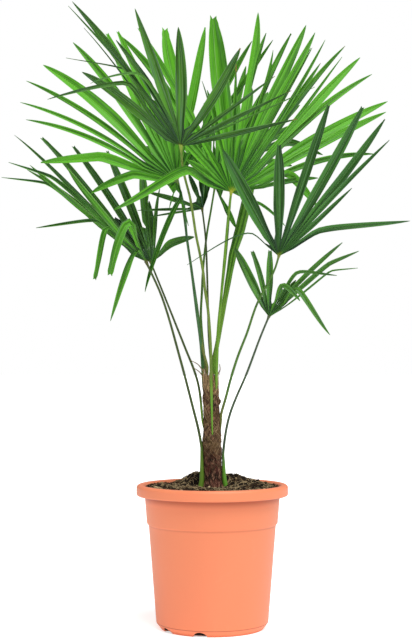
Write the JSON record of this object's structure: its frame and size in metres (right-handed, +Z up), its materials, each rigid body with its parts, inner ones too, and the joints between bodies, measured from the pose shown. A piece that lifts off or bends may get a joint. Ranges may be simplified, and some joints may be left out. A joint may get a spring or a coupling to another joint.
{
  "type": "potted windmill palm",
  "caption": "Young fan palm with a short fibrous trunk, slender leaf stalks and stiff pleated fan leaves, growing in a round terracotta-coloured plastic pot.",
  "frame": {"origin": "centre of the pot's flat underside", "axes": "+Z up along the pot's axis, +X to the right and +Y to the back as the picture sees the plant"},
  "size_m": [0.6392, 0.5329, 1.0059],
  "materials": {
    "pot_plastic": "satin",
    "potting_soil": "matt, loose",
    "trunk_bark": "matt, fibrous",
    "spear_leaf": "satin, folded",
    "stalk_front": "satin",
    "stalk_upper_right": "satin",
    "stalk_upper_left": "satin",
    "stalk_back_high": "satin",
    "stalk_right": "satin",
    "stalk_lower_right": "satin",
    "stalk_left_front": "satin",
    "stalk_left_back": "satin",
    "stalk_inner": "satin",
    "stalk_back_right": "satin",
    "stalk_back_left": "satin",
    "blade_front": "satin",
    "blade_upper_right": "satin",
    "blade_upper_left": "satin",
    "blade_back_high": "satin",
    "blade_right": "satin",
    "blade_lower_right": "satin",
    "blade_left_front": "satin",
    "blade_left_back": "satin",
    "blade_inner": "satin",
    "blade_back_right": "satin",
    "blade_back_left": "satin"
  },
  "bodies": {
    "root": {"pot": "pot_plastic", "soil": "potting_soil", "trunk": "trunk_bark", "spear_leaf": "spear_leaf", "petiole_front": "stalk_front", "petiole_upper_right": "stalk_upper_right", "petiole_upper_left": "stalk_upper_left", "petiole_back_high": "stalk_back_high", "petiole_right": "stalk_right", "petiole_lower_right": "stalk_lower_right", "petiole_left_front": "stalk_left_front", "petiole_left_back": "stalk_left_back", "petiole_inner": "stalk_inner", "petiole_back_right": "stalk_back_right", "petiole_back_left": "stalk_back_left", "frond_front": "blade_front", "frond_upper_right": "blade_upper_right", "frond_upper_left": "blade_upper_left", "frond_back_high": "blade_back_high", "frond_right": "blade_right", "frond_lower_right": "blade_lower_right", "frond_left_front": "blade_left_front", "frond_left_back": "blade_left_back", "frond_inner": "blade_inner", "frond_back_right": "blade_back_right", "frond_back_left": "blade_back_left"}
  },
  "joints": []
}
